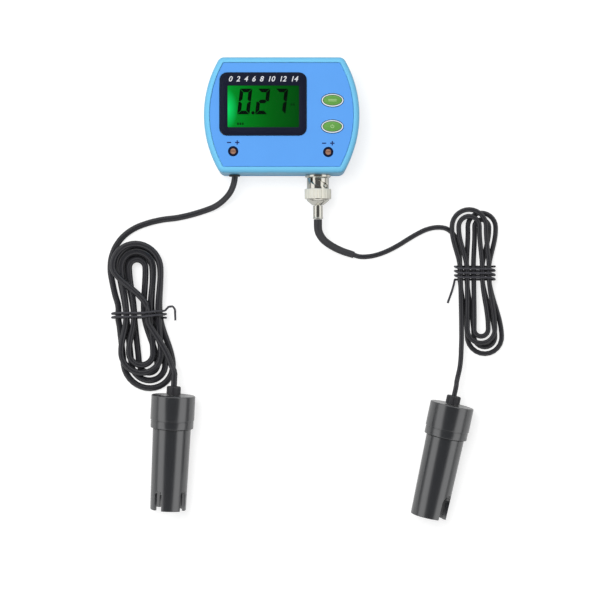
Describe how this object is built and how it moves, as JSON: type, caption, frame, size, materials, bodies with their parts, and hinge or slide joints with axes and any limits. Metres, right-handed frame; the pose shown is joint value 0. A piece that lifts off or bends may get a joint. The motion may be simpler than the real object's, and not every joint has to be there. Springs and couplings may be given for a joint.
{
  "type": "ph meter",
  "caption": "Flat blue hand-sized ph and dissolved-solids monitor with a liquid crystal display, push buttons, trimmers, a bayonet-coupled glass probe and a wired electrode probe on tied cords",
  "frame": {"origin": "centre of the case's back face, which lies on the table", "axes": "+Z out of the display face, +Y towards the top of the display, +X to the right of a reader; both cords leave the case's -Y side"},
  "size_m": [0.2191, 0.2518, 0.0306],
  "materials": {
    "blue_shell": "satin light blue moulding",
    "blue_overlay": "blue film label",
    "navy_bezel": "near-black navy",
    "clear_window": "clear",
    "lcd_glass": "green liquid crystal cell",
    "backlight": "green light guide",
    "pale_plastic": "white moulding",
    "zebra_rubber": "layered grey rubber",
    "board_green": "green laminate",
    "chip_black": "black moulding",
    "button_green": "green moulding",
    "bright_metal": "bright plated",
    "trimmer_navy": "dark navy moulding",
    "rotor_tan": "tan moulding",
    "cell_steel": "plated steel can",
    "steel": "bright steel",
    "nickel": "bright nickel plate",
    "gold_contact": "gold flashed",
    "white_ptfe": "white fluoropolymer",
    "black_rubber": "black, slight sheen",
    "black_plastic": "black, satin",
    "bulb_glass": "clear thin glass"
  },
  "bodies": {
    "case": {"front_shell": "blue_shell", "back_shell": "blue_shell", "front_overlay": "blue_overlay", "display_bezel": "navy_bezel", "display_window": "clear_window", "lcd_glass": "lcd_glass", "backlight_panel": "backlight", "lcd_holder": "pale_plastic", "zebra_strip": "zebra_rubber", "main_board": "board_green", "control_chip": "chip_black", "upper_switch": "chip_black", "lower_switch": "chip_black", "upper_button_ring": "bright_metal", "lower_button_ring": "bright_metal", "tds_trimmer_body": "trimmer_navy", "ph_trimmer_body": "trimmer_navy", "lower_cell": "cell_steel", "upper_cell": "cell_steel", "cell_bridge_contact": "steel", "lower_cell_contact": "steel", "upper_cell_contact": "steel", "lower_left_case_screw": "steel", "upper_left_case_screw": "steel", "lower_right_case_screw": "steel", "upper_right_case_screw": "steel", "tds_left_electrode": "steel", "tds_right_electrode": "steel", "bnc_socket": "nickel", "bnc_socket_nut": "nickel", "bnc_socket_contact": "gold_contact", "bnc_socket_insulator": "white_ptfe", "tds_cord_grommet": "black_rubber", "tds_cord_lead": "black_rubber", "tds_cord_hank": "black_rubber", "tds_cord_tail": "black_rubber", "tds_probe_gland": "black_rubber", "tds_cord_tie": "black_plastic", "tds_probe_cap": "black_plastic", "tds_probe_body": "black_plastic"},
    "ph_lead": {"bnc_plug_body": "nickel", "bnc_gasket": "black_rubber", "bnc_plug_insulator": "white_ptfe", "bnc_plug_pin": "gold_contact", "bnc_crimp_ferrule": "nickel", "ph_cord_sleeve": "black_rubber", "ph_cord_lead": "black_rubber", "ph_cord_hank": "black_rubber", "ph_cord_tie": "black_plastic", "ph_cord_tail": "black_rubber", "ph_probe_gland": "black_rubber", "ph_probe_cap": "black_plastic", "ph_probe_body": "black_plastic", "ph_glass_bulb": "bulb_glass"},
    "bnc_collar": {"bnc_collar": "nickel"},
    "upper_button": {"upper_button": "button_green"},
    "lower_button": {"lower_button": "button_green"},
    "tds_trimmer_rotor": {"tds_trimmer_rotor": "rotor_tan"},
    "ph_trimmer_rotor": {"ph_trimmer_rotor": "rotor_tan"},
    "battery_door": {"battery_door": "blue_shell"}
  },
  "joints": [
    {"name": "bnc_pull", "type": "slide", "parent": "case", "child": "ph_lead", "axis": [0, -1, 0], "range_m": [0, 0.0024]},
    {"name": "bnc_collar_turn", "type": "hinge", "parent": "ph_lead", "child": "bnc_collar", "pos_m": [0.0197, -0.0312, 0.0135], "axis": [0, -1, 0], "range_deg": [-81, 0]},
    {"name": "upper_button_press", "type": "slide", "parent": "case", "child": "upper_button", "axis": [0, 0, -1], "range_m": [0, 0.0005], "stiffness_N_per_m": 1000},
    {"name": "lower_button_press", "type": "slide", "parent": "case", "child": "lower_button", "axis": [0, 0, -1], "range_m": [0, 0.0005], "stiffness_N_per_m": 1000},
    {"name": "tds_trimmer_turn", "type": "hinge", "parent": "case", "child": "tds_trimmer_rotor", "pos_m": [-0.0261, -0.0197, 0.0245], "axis": [0, 0, 1], "range_deg": [-135, 135]},
    {"name": "ph_trimmer_turn", "type": "hinge", "parent": "case", "child": "ph_trimmer_rotor", "pos_m": [0.0251, -0.0201, 0.0245], "axis": [0, 0, 1], "range_deg": [-135, 135]},
    {"name": "battery_door_slide", "type": "slide", "parent": "case", "child": "battery_door", "axis": [0, 1, 0], "range_m": [0, 0.026]}
  ],
  "couplings": [
    {"joint": "bnc_collar_turn", "follows": "bnc_pull", "rad_per_m": -581.5}
  ]
}
